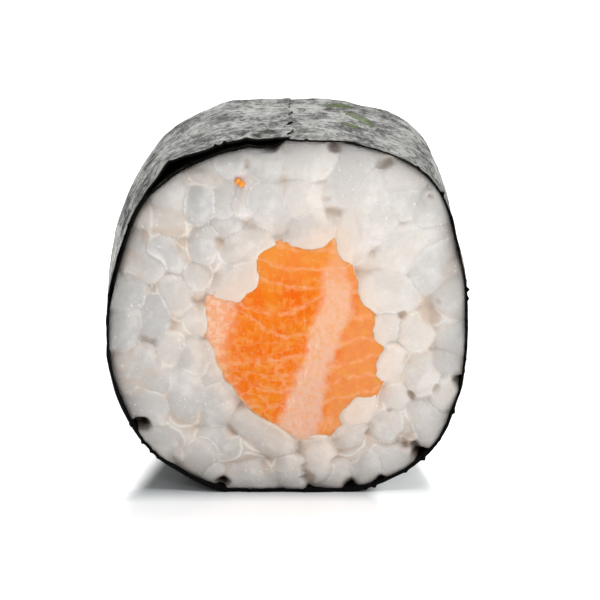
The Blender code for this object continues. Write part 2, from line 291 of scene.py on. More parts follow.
roll = {
    "length": 27.0,
    "middleX": 0.55,
    "middleZ": 14.8,
    # every 22.5 degrees, against the clock from the right
    "frontRadii": (15.0, 15.5, 16.9, 16.0, 15.4, 15.8, 15.9, 15.1,
                   15.0, 15.6, 16.0, 15.8, 14.9, 15.9, 16.6, 15.7),
    "backRadii": (15.0, 15.4, 17.2, 16.1, 15.1, 16.0, 16.4, 16.1,
                  16.0, 16.5, 16.1, 15.7, 14.9, 15.9, 16.4, 15.4),
    "belly": 0.2,
    "wrinkle": 0.14,
    "wrinkleSize": 5.0,
    "noriThickness": 0.35,
    "clearance": 0.25,
    "skinRadius": 15.5,  # turns an angle into a way round the skin
    "underFlap": (89.5, 94.0, 168.0, 179.0),  # the first turn lies deeper between the two inner angles
    "pressedFlap": (116.0, 142.0, 0.64),  # and from here on the two turns lie closer together
}


def rollPoint(degrees, along, inset):
    # a point on the roll's skin, moved inwards; along runs from 0 at the shown cut to 1
    degrees, along, inset = np.broadcast_arrays(np.asarray(degrees, float), along, inset)
    front, back = around(roll["frontRadii"], degrees), around(roll["backRadii"], degrees)
    radius = front + (back - front) * smoothStep(0.0, 0.8, along)
    radius = radius + roll["belly"] * np.sin(np.pi * along)
    outward = facing(degrees)
    middle = np.stack([np.full_like(radius, roll["middleX"]), (along - 0.5) * roll["length"],
                       np.full_like(radius, roll["middleZ"])], axis=-1)
    skin = middle + outward * radius[..., None]
    radius = radius + roll["wrinkle"] * softNoise(skin, roll["wrinkleSize"])
    point = middle + outward * (radius - inset)[..., None]
    point[..., 2] = np.maximum(point[..., 2], inset)  # the roll has settled on a flat foot
    return point


def firstTurnInset(degrees):
    # room for the free end of the nori over its start
    rise, full, fall, end = roll["underFlap"]
    degrees = np.mod(degrees, 360.0)
    share = smoothStep(rise, full, degrees) * (1 - smoothStep(fall, end, degrees))
    first, last, closer = roll["pressedFlap"]
    share = share * (1 - closer * smoothStep(first, last, degrees))
    return (roll["noriThickness"] + roll["clearance"]) * share


def riceWall(degrees, along, oversize=0.0):
    depth = firstTurnInset(degrees) + roll["noriThickness"] + roll["clearance"] - oversize
    return rollPoint(degrees, along, depth)


# Nori

nori = {
    "start": 168.0,
    "seam": 89.0,
    "tornEnd": 2.4,
    "pressedEnd": 0.12,
    "crease": 0.6,  # a sharp fold in the free end, which dies away towards the back
    "creaseAngle": 126.0,
    "creaseWidth": 13.0,
    "edgeWave": 0.22,
    "edgeWaveSize": 3.5,
    "stepsAround": 470,
    "stepsAlong": 80,
    "rowsAtCut": (0.0, 0.002, 0.006, 0.013),  # closer rows at either cut, as shares of the length
    # how thick the moist sheet shows at the cut, every 22.5 degrees
    "thickness": (0.17, 0.17, 0.15, 0.14, 0.2, 0.24, 0.19, 0.13,
                  0.16, 0.22, 0.3, 0.35, 0.32, 0.3, 0.2, 0.16),
    "puckers": ((3.6, 0.1), (1.8, 0.065), (0.95, 0.036), (0.5, 0.012)),  # size and height
    "seamCrumple": 0.17,
    "fray": 0.8,  # how far torn shreds stand out along the cut
    "black": (0.006, 0.008, 0.005),
    "olive": (0.034, 0.04, 0.018),
    # grey mottle, partly the sheet's own tone and partly a painted sheen
    "sheenMottle": (0.066, 0.066, 0.046),
    "cut": (0.0035, 0.0028, 0.0022),
    # the colour of the painted highlight beside the cut
    "rimHighlight": (0.34, 0.33, 0.29),
    "grain": (0.9, 0.55, 0.9),  # how the skin's pattern is drawn out along the roll
    # how the streaks of that painted highlight are drawn out
    "rimHighlightGrain": (0.45, 2.2, 0.45),
    "thinSpot": (0.17, 0.25, 0.045),
    # where light comes through: angle, place along the roll, half sizes around and along, slant
    "thinSpots": ((73.0, 8.2, 1.7, 2.4, 0.0), (66.5, 1.7, 1.1, 4.6, -0.3),
                  (70.0, -4.5, 1.3, 1.0, 0.0)),
    # where pale streaks are painted beside the cut as a highlight along its lit top: from, to, strength
    # and share of the length
    "rimHighlightSpans": ((30.0, 74.0, 0.6, 0.045), (122.0, 166.0, 0.6, 0.1)),
}


def freeEnd(turned):
    # 1 at the loose end of the sheet, which lies pressed thin on the turn below it
    return smoothStep(-7.0, 0.0, turned - (360.0 + nori["start"] - nori["seam"]))


def noriInset(turned, along):
    degrees = nori["start"] - turned
    offCrease = np.abs((degrees + 360.0 - nori["creaseAngle"]) / nori["creaseWidth"])
    crease = -nori["crease"] * np.clip(1 - offCrease, 0, 1) ** 1.5 * (1 - smoothStep(0.0, 0.7, along))
    pressed = nori["pressedEnd"] * freeEnd(turned)
    return np.where(turned < 180.0, firstTurnInset(degrees), crease - pressed)


def noriEdge(turned, end):
    # how far the knife's uneven cut lies behind the full length
    place = np.stack([np.radians(turned) * roll["middleZ"] / nori["edgeWaveSize"],
                      np.full_like(turned, end * 9.0), np.zeros_like(turned)], axis=-1)
    ragged = 0.05 * softNoise(place * 9.0, 1.0)
    return nori["edgeWave"] * (0.5 + softNoise(place, 1.0)) + ragged


def noriPucker(degrees, y):
    # the fine crumpling, the same in both turns where they lie on each other
    place = facing(degrees) * 8.5
    place[..., 1] = y * 0.85
    lift = 0.0
    for size, height in nori["puckers"]:
        lift = lift + height * (1 - 2.4 * np.abs(softNoise(place, size, size * 7)))
    nearSeam = np.exp(-((np.mod(degrees, 360.0) - 98.0) / 10.0) ** 2) * smoothStep(-4.0, -13.0, y)
    ridges = 1 - 2.6 * np.abs(softNoise(place * (1.4, 0.9, 1.4), 1.3, 31.0))
    return lift - 0.08 + nori["seamCrumple"] * nearSeam * ridges


def makeNoriMaterial():
    material, tree, surface = newMaterial("noriSkin", {
        "IOR": 1.45, "Specular IOR Level": 0.12, "Coat Roughness": 0.34, "Coat IOR": 1.5,
        "Coat Tint": (1.0, 0.97, 0.875, 1.0)})
    place = stretched(millimetres(tree), nori["grain"])
    patches, specks = mottled(place, 2.4, 1.1), mottled(place, 0.42, 1.7)
    # thin creases that wander over the sheet: bumped, and painted dark in the colour as crease shade
    offCrease = calculate("ABSOLUTE", waver(place, 1.5, 1.0, 4.0, 0.6))
    creasesAndShade = times(between(offCrease, 0.0, 0.045, 1.0, 0.0),
                    between(cloud(place, 2.2, 2.0), 0.34, 0.58))
    # a grey mottle in the colour: partly the sheet's own tone, partly painted sheen
    sheenMottle = timesPlus(specks["Broad"], 0.5, times(patches["Broad"], 0.5))
    sheenMottle = times(sheenMottle, timesPlus(creasesAndShade, -0.75, 1.0))
    # thin spots with ragged edges, and pale streaks beside the cut: a painted highlight along the lit
    # top edge
    thin = calculate("ADD", painted(tree, "noriThin"), waver(place, 0.6, 1.5, roughness=0.65))
    green = between(thin, 0.1, 0.7)
    cut, rim = painted(tree, "noriCut"), painted(tree, "noriRimHighlight")
    streaks = cloud(stretched(place, nori["rimHighlightGrain"]), 0.55)
    streaks = between(streaks, 0.42, 0.62)
    # the coat of oil follows the grey mottle, and neither the cut nor a thin spot has any
    bare = calculate("MAXIMUM", cut, between(green, 0.0, 0.35))
    shine = between(sheenMottle, 0.15, 0.8, 0.15, 1.0)
    shine = times(shine, calculate("SUBTRACT", 1.0, bare))
    rimCoat = times(rim, calculate("SUBTRACT", streaks, shine))
    skin = between(patches["Broad"], 0.1, 0.9, 0.62, 0.36)
    height = timesPlus(creasesAndShade, -1.8, timesPlus(specks["Broad"], 1.2, specks["Fine"]))
    setInputs(surface, {
        "Base Color": layered(
            nori["black"], (patches["Broad"], nori["olive"]),
            (between(sheenMottle, 0.15, 0.85, 0.0, 0.6), nori["sheenMottle"]), (green, nori["thinSpot"]),
            (cut, nori["cut"]), (times(rim, streaks), nori["rimHighlight"])),
        "Roughness": timesPlus(cut, 0.4, skin),
        "Coat Weight": calculate("ADD", shine, rimCoat),
        "Normal": bumped(height, 1.0, 0.15)})
    return material


def makeNori():
    wholeTurn = 360.0 + nori["start"] - nori["seam"]
    steps = nori["stepsAround"] // 1
    turned = np.linspace(0.0, wholeTurn, steps + 1)
    atCut = np.array(nori["rowsAtCut"])
    alongs = np.concatenate([atCut, np.linspace(0.024, 0.976, nori["stepsAlong"]), 1 - atCut[::-1]])
    turnedGrid, alongGrid = np.meshgrid(turned, alongs)
    acrossSheet = np.stack([0 * alongs, alongs * roll["length"], 0 * alongs], axis=-1)
    tornEnd = softNoise(acrossSheet, 2.6, 2.0) + 0.4 * softNoise(acrossSheet, 0.6, 6.0)
    tornEnd = nori["tornEnd"] * tornEnd[:, None] * smoothStep(-20.0, 0.0, turnedGrid - wholeTurn)
    turnedGrid = turnedGrid + tornEnd
    degrees = nori["start"] - turnedGrid
    edge = noriEdge(turned, 0)[None] * (1 - alongGrid) - noriEdge(turned, 1)[None] * alongGrid
    y = (alongGrid - 0.5) * roll["length"]
    inset = noriInset(turnedGrid, alongGrid) - np.clip(noriPucker(degrees, y), -0.3, 0.25)
    roundSheet = np.stack([turned, 0 * turned, 0 * turned], axis=-1)
    shreds = np.clip(softNoise(roundSheet, 1.3, 4.0) - 0.28, 0, 1)
    inset = inset - nori["fray"] * shreds[None] * (1 - smoothStep(0.0, 0.02, alongGrid))
    thickness = around(nori["thickness"], degrees) * (1 - 0.5 * freeEnd(turnedGrid))
    fromCut = np.minimum(alongGrid, 1 - alongGrid)
    bevel = 0.3 * thickness * (1 - smoothStep(0.0, 0.006, fromCut))
    outer = rollPoint(degrees, alongGrid, inset + bevel)
    inner = rollPoint(degrees, alongGrid, inset + thickness - 0.4 * bevel)
    for sheet in (outer, inner):
        sheet[..., 1] += edge
        sheet[..., 2] = np.maximum(sheet[..., 2], 0.0)
    # each row runs out along the sheet and back
    loops = np.concatenate([outer, inner[:, ::-1]], axis=1)
    rows, columns = loops.shape[:2]
    faces = gridFaces(rows, columns, False, True)
    for row, order in ((0, 1), (rows - 1, -1)):
        for i in range(steps):
            here, there = row * columns + i, row * columns + columns - 1 - i
            faces.append([here, there, there - 1, here + 1][::order])
    turn = np.mod(degrees, 360.0)
    pale, thin = np.zeros_like(turn), np.zeros_like(turn)
    # pale streaks along the top of the cut: a painted highlight
    for first, last, strength, reach in nori["rimHighlightSpans"]:
        here = smoothStep(first - 6, first, turn) * (1 - smoothStep(last, last + 6, turn))
        pale = np.maximum(pale, strength * here * (1 - smoothStep(0.25 * reach, reach, alongGrid)))
    for spotAngle, spotY, halfAround, halfAlong, slant in nori["thinSpots"]:
        across = np.radians(spotAngle - turn) * roll["skinRadius"] - slant * (y - spotY)
        thin = np.maximum(thin, 1 - np.hypot(across / halfAround, (y - spotY) / halfAlong))
    # what is painted on the outside, and the plain value that the inside has
    painting = {"noriCut": (1 - smoothStep(0.0015, 0.004, fromCut), 1.0),
                "noriRimHighlight": (pale * smoothStep(0.0015, 0.005, alongGrid), 0.0),
                "noriThin": (np.clip(thin, 0, 1) * (turnedGrid < 180.0), 0.0)}
    values = {name: np.concatenate([outside, np.full_like(outside, inside)], axis=1)
              for name, (outside, inside) in painting.items()}
    buildPiece("noriSheet", loops, faces, makeNoriMaterial(), "nori", values, sharpAngle=55)


# Salmon

salmon = {
    "centre": (1.35, 0.0, 14.0),
    "radii": (7.1, 6.5, 6.8, 8.9, 8.0, 7.5, 7.4, 8.0, 7.7, 7.5, 7.4, 8.2, 9.4, 9.6, 9.0, 8.2),
    "twist": 14.0,
    "drift": (-0.5, 0.0, 0.6),
    "recess": 0.28,
    "relief": (0.1, 0.02),  # how far the flakes and the fat band stand out
    "rimRounding": 0.2,
    "stepsAround": 280,
    "rings": 64,
    "rough": ((0.5, 0.035), (1.7, 0.05)),  # size and height of the unevenness in the cut
    # height of each pale seam between two flakes, at the three stations in x
    "seamStations": (-1.9, 1.1, 3.9),
    "seamHeights": ((21.6, 21.0, 20.7), (20.1, 19.2, 19.1), (18.7, 17.6, 17.7), (15.6, 15.8, 17.4),
                    (14.7, 13.4, 14.6), (11.2, 11.7, 12.4), (10.3, 10.2, 10.6), (9.1, 8.5, 9.2),
                    (7.4, 7.5, 7.9), (5.9, 6.0, 6.4)),
    # the fat band between the two blocks of muscle: z, left edge, right edge
    "fatBand": ((22.5, 4.3, 5.3), (20.0, 4.0, 5.8), (18.2, 3.3, 6.0), (16.6, 3.3, 6.2),
                (15.5, 3.1, 6.1), (14.1, 2.4, 5.6), (12.0, 2.1, 4.8), (10.2, 1.2, 4.1),
                (8.0, 0.4, 3.8), (6.5, -0.2, 3.5), (4.0, -0.3, 3.0)),
    # the edge of the starchy margin at the left: z and x
    "margin": ((18.0, -3.2), (16.6, -3.3), (15.5, -3.4), (14.3, -3.7), (13.0, -4.1), (11.5, -4.5),
               (9.8, -4.0), (8.0, -2.8), (6.6, -1.7), (5.6, -0.6), (4.4, 0.8)),
    "veined": ((-0.8, 8.4), 3.4),  # where fine pale veins part the muscle into cells
    "bandLift": (4.3, 1.6),  # right of the first, no seam rises by more than the second
    "deep": (0.89, 0.145, 0.001),
    "orange": (0.88, 0.235, 0.006),
    "light": (0.9, 0.36, 0.075),
    "rightBlock": (0.88, 0.325, 0.11),
    "fat": (0.92, 0.51, 0.32),
    "fatLow": (0.87, 0.505, 0.355),
    "gristle": (0.94, 0.66, 0.5),
    "seamColour": (0.95, 0.42, 0.19),
    "fibreGrain": (4.2, 0.6, 0.9),
    "gristleGrain": (2.6, 0.6, 1.3),
    "cellGrain": (0.62, 0.25, 1.0),
}


def salmonPoint(degrees, along, share, growth=0.0):
    radius = (around(salmon["radii"], degrees - salmon["twist"] * along) + growth) * share
    centre = np.array(salmon["centre"]) + np.array(salmon["drift"]) * np.asarray(along)[..., None]
    return centre + facing(degrees) * np.asarray(radius)[..., None]


def readTable(table, heights, column):
    rows = sorted(table)
    return np.interp(heights, [row[0] for row in rows], [row[column] for row in rows])


def fishPattern(points):
    # flakes, fat band and pale margin, which all run through the bar along its twist
    along = np.clip(points[..., 1] / roll["length"] + 0.5, 0, 1)
    centre = np.array(salmon["centre"])
    moved = points - centre - np.array(salmon["drift"]) * along[..., None]
    turn = np.radians(salmon["twist"] * along)
    x = centre[0] + moved[..., 0] * np.cos(turn) + moved[..., 2] * np.sin(turn)
    z = centre[2] - moved[..., 0] * np.sin(turn) + moved[..., 2] * np.cos(turn)
    liftedFrom, lift = salmon["bandLift"]
    heights = []
    for stations in salmon["seamHeights"]:
        height = np.polyval(np.polyfit(salmon["seamStations"], stations, 2), x)
        heights.append(np.where(x > liftedFrom, np.minimum(height, stations[1] + lift), height))
    flake = sum(np.clip((upper - z) / np.maximum(upper - lower, 0.5), 0, 1)
                for upper, lower in zip(heights, heights[1:]))
    bandLeft, bandRight = (readTable(salmon["fatBand"], z, column) for column in (1, 2))
    return {
        "fishFlake": flake,
        "fishBand": np.minimum(x - bandLeft, bandRight - x),
        "fishBandSide": (x - bandLeft) / (bandRight - bandLeft),
        "fishRight": x - bandRight,
        "fishMargin": readTable(salmon["margin"], z, 1) - x,
        "fishVeined": spot(x, z, *salmon["veined"]),
        "fishPlace": np.stack([x, points[..., 1], z], axis=-1),
    }


def fishRelief(pattern):
    # the flakes bulge a little between their seams, and the fat band lies lower
    flake = np.abs(np.sin(np.pi * pattern["fishFlake"])) ** 0.6
    inBand = smoothStep(-0.1, 0.3, pattern["fishBand"])
    flakes, fatBand = salmon["relief"]
    return flakes * flake * (1 - inBand) + fatBand * inBand


def makeSalmonMaterial():
    material, tree, surface = newMaterial("salmonFlesh", {
        "IOR": 1.38, "Specular IOR Level": 0.1, "Coat Roughness": 0.1, "Coat IOR": 1.34,
        "Subsurface Weight": 0.45, "Subsurface Radius": (1.0, 0.3, 0.12),
        "Subsurface Scale": 0.8 * mm})
    place = addNode(tree, "Attribute", attribute_name="fishPlace").outputs["Vector"]
    height = follow("SeparateXYZ", {0: place})["Z"]
    tone, grit = mottled(place, 2.2, 1.9), mottled(place, 0.5, 2.0)
    ragged = waver(place, 0.8, 1.0)
    fibres = cloud(stretched(place, salmon["fibreGrain"]), 1.0)  # they cross the flakes
    # pale seams where the flakes meet, and veins between the cells of the muscle
    level = calculate("ADD", waver(place, 0.9, 0.7), painted(tree, "fishFlake"))
    offSeam = calculate("SUBTRACT", level, calculate("ROUND", level))
    seam = between(calculate("ABSOLUTE", offSeam), 0.02, 0.17, 0.75, 0.0)
    moved = stretched(drifted(place, 1.5, 1.6), salmon["cellGrain"])
    cells = follow("TexVoronoi", {"Vector": moved, "Scale": 1.05}, feature="DISTANCE_TO_EDGE")
    vein = times(between(cells["Distance"], 0.01, 0.13, 0.7, 0.0), painted(tree, "fishVeined"))
    broken = between(cloud(place, 0.7), 0.38, 0.6, 0.25, 1.0)
    pale = times(calculate("MAXIMUM", seam, vein), broken)
    # the fat band, paler towards its foot and gristly along its left side
    side = between(painted(tree, "fishBandSide"), 0.85, 0.0)
    gristle = cloud(stretched(place, salmon["gristleGrain"]), 1.0, 5.0)
    fat = layered(
        salmon["fat"], (between(height, 15.0, 7.5), salmon["fatLow"]),
        (times(between(gristle, 0.5, 0.68), side), salmon["gristle"]),
        (between(grit["Broad"], 0.55, 1.0, 0.0, 0.35), salmon["light"]))
    band = between(timesPlus(ragged, 1.3, painted(tree, "fishBand")), -0.35, 0.65)
    high = between(height, 16.8, 20.2, 1.0, 0.4)
    # starch from the rice on the left margin
    margin = calculate("ADD", ragged, painted(tree, "fishMargin"))
    starch = layered(salmon["fat"], (between(grit["Broad"], 0.3, 0.9), salmon["gristle"]))
    film = moistened(place, 0.34, 0.08, 0.9)
    raised = timesPlus(pale, 0.4, timesPlus(grit["Broad"], 0.6, film["Height"]))
    setInputs(surface, {
        "Base Color": layered(
            salmon["deep"], (tone["Broad"], salmon["orange"]),
            (between(painted(tree, "fishRight"), -0.3, 0.6, 0.0, 0.75), salmon["rightBlock"]),
            (between(grit["Broad"], 0.35, 1.0, 0.0, 0.55), salmon["light"]),
            (between(height, 16.8, 20.5, 0.0, 0.55), salmon["light"]),
            (between(fibres, 0.5, 0.72, 0.0, 0.4), salmon["light"]),
            (pale, salmon["seamColour"]), (times(band, high), fat),
            (between(margin, -0.6, 1.5, 0.0, 0.75), starch),
            # painted glints where water beads lie, in the pale gristle colour
            (times(film["Wet"], 0.25), salmon["gristle"])),
        "Roughness": between(grit["Fine"], 0.2, 0.8, 0.28, 0.52),
        "Coat Weight": between(film["Wet"], 0.0, 0.6, 0.02, 1.0),
        "Normal": bumped(raised, 0.6, 0.12)})
    return material


def makeSalmon():
    steps = salmon["stepsAround"]
    degrees = np.arange(steps) * 360.0 / steps
    half = roll["length"] / 2 - salmon["recess"]
    shares = np.linspace(0.0, 1.0, salmon["rings"] + 1)[1:] ** 0.85

    def cutFace(along, side):
        points = salmonPoint(degrees[None], np.full((len(shares), 1), along), shares[:, None])
        points[..., 1] = side * half
        relief = fishRelief(fishPattern(points))
        rough = sum(height * softNoise(points, size) for size, height in salmon["rough"])
        rounded = salmon["rimRounding"] * smoothStep(0.93, 1.0, shares)[:, None] ** 2
        points[..., 1] -= side * (0.1 - relief - rough + rounded)
        return points

    frontFace, backFace = cutFace(0.0, -1), cutFace(1.0, 1)
    levels = np.linspace(0.03, 0.97, 9)[:, None]
    side = salmonPoint(degrees[None], levels, 1.0)
    side[..., 1] = (levels - 0.5) * roll["length"]
    body = np.concatenate([frontFace, side, backFace[::-1]])
    tips = np.stack([frontFace[0].mean(0), backFace[0].mean(0)])
    points = np.concatenate([body.reshape(-1, 3), tips])
    buildPiece("salmonBar", points, ringFaces(len(body), steps), makeSalmonMaterial(),
               "salmon", fishPattern(points))


# Rice

rice = {
    "recess": 0.16,
    "wallOverlap": 0.2,
    "stepsAround": 620,
    "rows": (90, 46),  # at the shown cut and at the far one
    "reach": 1.6,  # how far the sheet of grains goes in over the fish, out of sight
    "farReach": 1.0,
    "longReach": (143.0, 26.0, 1.9),  # angle, width and extra reach where one long grain lies over it
    # how far the rice covers the rim of the fish, every 22.5 degrees
    "lap": (0.55, 0.4, 0.4, 0.15, 0.95, 0.75, 1.5, 1.0, 0.4, 0.25, 0.35, 0.15, 0.15, 0.5, 0.6, 0.65),
    "overlap": 0.75,  # how much further single grains lap over it
    "grainLengths": (5.8, 3.0),  # the longest first, then those that the knife cut shorter
    "grainWidths": (2.7, 2.1),
    "grainTilt": 22.0,
    "tries": 9000,
    "closeness": (0.92, 0.62),
    "seeds": (41, 87),
    "underSeeds": (5, 9),
    "underDepth": 0.4,
    "floorDepth": 2.6,
    "fill": 0.58,  # how far grains are pressed out into the spaces between them
    "stagger": 0.55,  # how much further back one grain lies than another
    "slope": 0.15,
    "wander": ((1.4, 0.16), (0.5, 0.05)),  # of the grains' outlines: size and strength
    "grainHeights": (0.55, 0.95),
    "taper": 0.16,
    "white": (0.84, 0.79, 0.735),
    # the grey of the painted shade
    "paintedShade": (0.57, 0.55, 0.535),
    "heart": (0.61, 0.585, 0.56),  # the glassy middle of a grain, through which the shade shows
    "blush": (0.86, 0.65, 0.51),
    "bluish": (0.5, 0.515, 0.52),
    "pinkish": (0.86, 0.785, 0.725),
    # the grey of painted shade beside the nori
    "wallShade": (0.3, 0.285, 0.27),
    # colours of painted shade: in gaps, between grains and in deep holes
    "gap": (0.66, 0.525, 0.42),
    "seam": (0.53, 0.49, 0.46),
    "dark": (0.075, 0.04, 0.022),
    # the colour of painted highlights on grain rims and water beads, and of lighter mottling
    "rim": (0.93, 0.9, 0.86),
    # which painted values colour the grains, how strongly and with what, one over the other
    "painted": (("riceBlush", 0.62, "blush"), ("riceSeamShade", 0.65, "seam"), ("riceGapShade", 0.85, "gap"),
                ("riceRimHighlight", 0.75, "rim"), ("riceWall", 0.8, "wallShade"), ("riceDeepShade", 1.0, "dark")),
    # the grains that stand out: x and z of the middle, length, width and lean in the cut face
    "standout": (
        (-1.5, 4.9, 5.8, 2.4, -33), (3.2, 3.1, 3.9, 2.3, 97), (0.6, 1.7, 2.6, 2.3, 80),
        (4.6, 1.6, 2.8, 2.3, 0), (9.5, 2.4, 4.4, 2.5, -10), (12.3, 6.0, 4.7, 2.2, -66),
        (14.0, 7.9, 3.4, 2.0, 80), (13.8, 10.9, 2.7, 2.4, 0), (11.7, 10.3, 3.7, 2.3, 92),
        (9.3, 10.8, 3.6, 2.6, 78), (11.3, 13.9, 3.3, 2.5, -55), (8.9, 14.0, 3.1, 2.3, 85),
        (9.0, 17.0, 5.0, 2.8, -12), (8.9, 5.7, 3.1, 2.4, 75), (6.9, 7.2, 3.9, 2.1, 22),
        (5.8, 4.7, 3.4, 2.4, 58), (10.7, 25.1, 3.0, 2.6, -60), (2.6, 22.5, 3.4, 2.7, 10),
        (-2.9, 21.2, 4.4, 2.4, 32), (-3.95, 18.15, 4.3, 2.9, 25), (-7.0, 14.6, 2.0, 1.9, 0),
        (-8.7, 16.7, 3.8, 2.7, -65), (-10.7, 15.3, 3.8, 2.3, 97), (-12.9, 14.8, 4.3, 2.3, 85),
        (-6.4, 21.3, 3.3, 2.3, 88), (-6.8, 24.5, 3.2, 2.6, 75), (-4.4, 25.4, 3.9, 2.1, 75),
        (2.1, 28.4, 4.2, 2.7, 5), (-9.8, 4.4, 3.1, 2.4, -10), (-11.1, 7.5, 3.3, 2.4, -40),
        (-5.2, 7.7, 4.0, 2.7, 80), (-6.9, 11.9, 3.1, 2.3, 80)),
    # where gaps stay open between the grains: x, z, radius, and 1 where they go right back
    "gaps": (
        (-10.8, 23.9, 1.0, 0), (-8.1, 21.4, 0.45, 0), (-5.2, 21.3, 0.45, 0), (4.4, 23.9, 0.9, 0),
        (7.0, 19.2, 0.5, 0), (-6.3, 13.2, 0.45, 0), (8.8, 21.0, 0.4, 0), (11.6, 2.9, 1.05, 1),
        (14.8, 9.5, 0.8, 1), (-5.0, 0.8, 0.8, 1), (5.8, 0.5, 0.8, 1), (8.3, 0.8, 0.8, 1),
        (2.1, 1.3, 0.7, 0), (-1.0, 29.2, 0.9, 0), (4.5, 29.5, 0.6, 0), (-10.8, 17.3, 0.5, 0),
        (-7.1, 16.6, 0.55, 0), (-2.8, 28.0, 0.7, 0), (9.0, 28.2, 0.5, 0), (12.2, 14.8, 0.85, 0),
        (10.2, 15.2, 0.5, 0), (13.2, 16.4, 0.35, 0), (10.6, 11.5, 0.35, 0), (10.9, 8.5, 0.5, 0),
        (13.0, 9.0, 0.4, 0), (9.0, 7.1, 0.35, 0), (-11.7, 5.9, 0.7, 1), (-8.5, 2.9, 0.7, 0),
        (-6.6, 6.7, 0.35, 0), (-4.1, 5.0, 0.5, 0), (10.8, 4.3, 0.7, 0), (6.6, 2.7, 0.45, 0),
        (4.4, 2.5, 0.35, 0), (7.4, 4.9, 0.35, 0), (14.8, 20.7, 0.5, 1), (12.3, 25.3, 0.4, 0)),
    # where the knife smeared the grains together: centre, size and strength
    "smeared": (((6.2, 24.5), 4.5, 0.9), ((-1.3, 26.0), 3.0, 0.5), ((10.7, 19.5), 2.6, 0.6),
                ((-6.7, 9.6), 2.6, 0.75)),
}


def radiusFrom(centre, point):
    return math.hypot(point[0] - centre[0], point[2] - centre[2])


def angleFrom(centre, point):
    return math.degrees(math.atan2(point[2] - centre[2], point[0] - centre[0]))


def inRice(grain, along):
    # whether a grain lies well between the nori and the fish
    place, width = (grain[0], 0.0, grain[1]), grain[3]
    middle = (roll["middleX"], 0.0, roll["middleZ"])
    wall = riceWall(angleFrom(middle, place), along)
    if radiusFrom(middle, place) > radiusFrom(middle, wall) - 0.25 * width:
        return False
    fish = salmonPoint(np.array(0.0), along, 0.0)
    rim = salmonPoint(np.array(angleFrom(fish, place)), along, 1.0)
    return radiusFrom(fish, place) > radiusFrom(fish, rim) + 0.2 * width


def grainBeads(grain):
    # three points along a grain, which stand for it between others
    x, z, length, width, lean, tilt = grain
    reach = math.cos(math.radians(tilt)) * (length - width) / 2
    step = np.array([math.cos(math.radians(lean)), math.sin(math.radians(lean))]) * reach
    return np.array([(x, z) - step, (x, z), (x, z) + step])


def scatterGrains(seed, along, grains):
    # drops grains between those already there, shorter and closer as the ring fills
    draw = random.Random(seed)
    beads = [grainBeads(grain) for grain in grains]
    widths = [grain[3] for grain in grains]
    reach = max(roll["frontRadii"])
    for attempt in range(rice["tries"]):
        share = attempt / rice["tries"]
        length, width, closeness = (first + (last - first) * share for first, last in (
            rice["grainLengths"], rice["grainWidths"], rice["closeness"]))
        x, z = (middle + draw.uniform(-reach, reach) for middle in (roll["middleX"], roll["middleZ"]))
        draw.random()  # not used, but the grains keep their places with it
        lean, tilt = draw.uniform(0, 180), draw.gauss(0, rice["grainTilt"])
        length, width = length * draw.uniform(0.9, 1.1), width * draw.uniform(0.9, 1.1)
        grain = (x, z, length, width, lean, tilt)
        if not inRice(grain, along):
            continue
        spots = grainBeads(grain)
        if beads:
            apart = np.linalg.norm(np.array(beads)[:, :, None] - spots[None, None], axis=3)
            if (apart.min(axis=(1, 2)) < closeness * (np.array(widths) + width) / 2).any():
                continue
        grains.append(grain)
        beads.append(spots)
        widths.append(width)
    return grains


def outsideGrains(x, z, table):
    # how far each point lies outside each grain's outline, in the cut face
    lean = np.radians(table[:, 4])
    dx, dz = x[:, None] - table[:, 0], z[:, None] - table[:, 1]
    along = dx * np.cos(lean) + dz * np.sin(lean)
    across = dz * np.cos(lean) - dx * np.sin(lean)
    half = np.maximum((table[:, 2] * np.cos(np.radians(table[:, 5])) - table[:, 3]) / 2, 0.02)
    reach = np.clip(along / half, -1, 1)
    return np.hypot(along - reach * half, across) - table[:, 3] / 2 * (1 - rice["taper"] * reach ** 2)


def clearGaps(table, fixed):
    # moves the grains that lie over an open gap to its edge
    for x, z, radius, _ in rice["gaps"]:
        over = 0.25 * radius - outsideGrains(np.array([x]), np.array([z]), table)[0]
        over[:fixed] = np.minimum(over[:fixed], 0.25)
        away = table[:, :2] - (x, z)
        away /= np.maximum(np.linalg.norm(away, axis=1), 0.05)[:, None]
        table[:, :2] += away * np.clip(over, 0, 1.2)[:, None]
    return table


def openGaps(gaps, x, z, uneven):
    # where the ring of grains is open, and where it is open right back
    gap, back = np.zeros_like(x), np.zeros_like(x)
    for gapX, gapZ, radius, deep in gaps:
        away = np.hypot(x - gapX, z - gapZ) * (1 + 0.8 * uneven)
        near = 1 - smoothStep(0.3 * radius, 1.3 * radius, away)
        gap, back = np.maximum(gap, near * (1.0 if deep else 0.8)), np.maximum(back, near * deep)
    return gap, back


def drawGrains(seed, count, fixed):
    # how far back each grain lies, how it slopes, its height, roundness, tone and glassiness
    draw = np.random.default_rng(seed)
    standing = np.arange(count) < fixed
    setBack = np.where(standing, draw.uniform(0.0, 0.25, count),
                       draw.uniform(0.0, rice["stagger"], count))
    slopes = draw.normal(0, rice["slope"], (count, 2))
    height = draw.uniform(*rice["grainHeights"], count)
    roundness = np.where(standing, draw.uniform(1.6, 2.2, count), draw.uniform(1.8, 2.8, count))
    return setBack, slopes, height, roundness, draw.uniform(-1, 1, count), draw.uniform(0.2, 1.0, count)


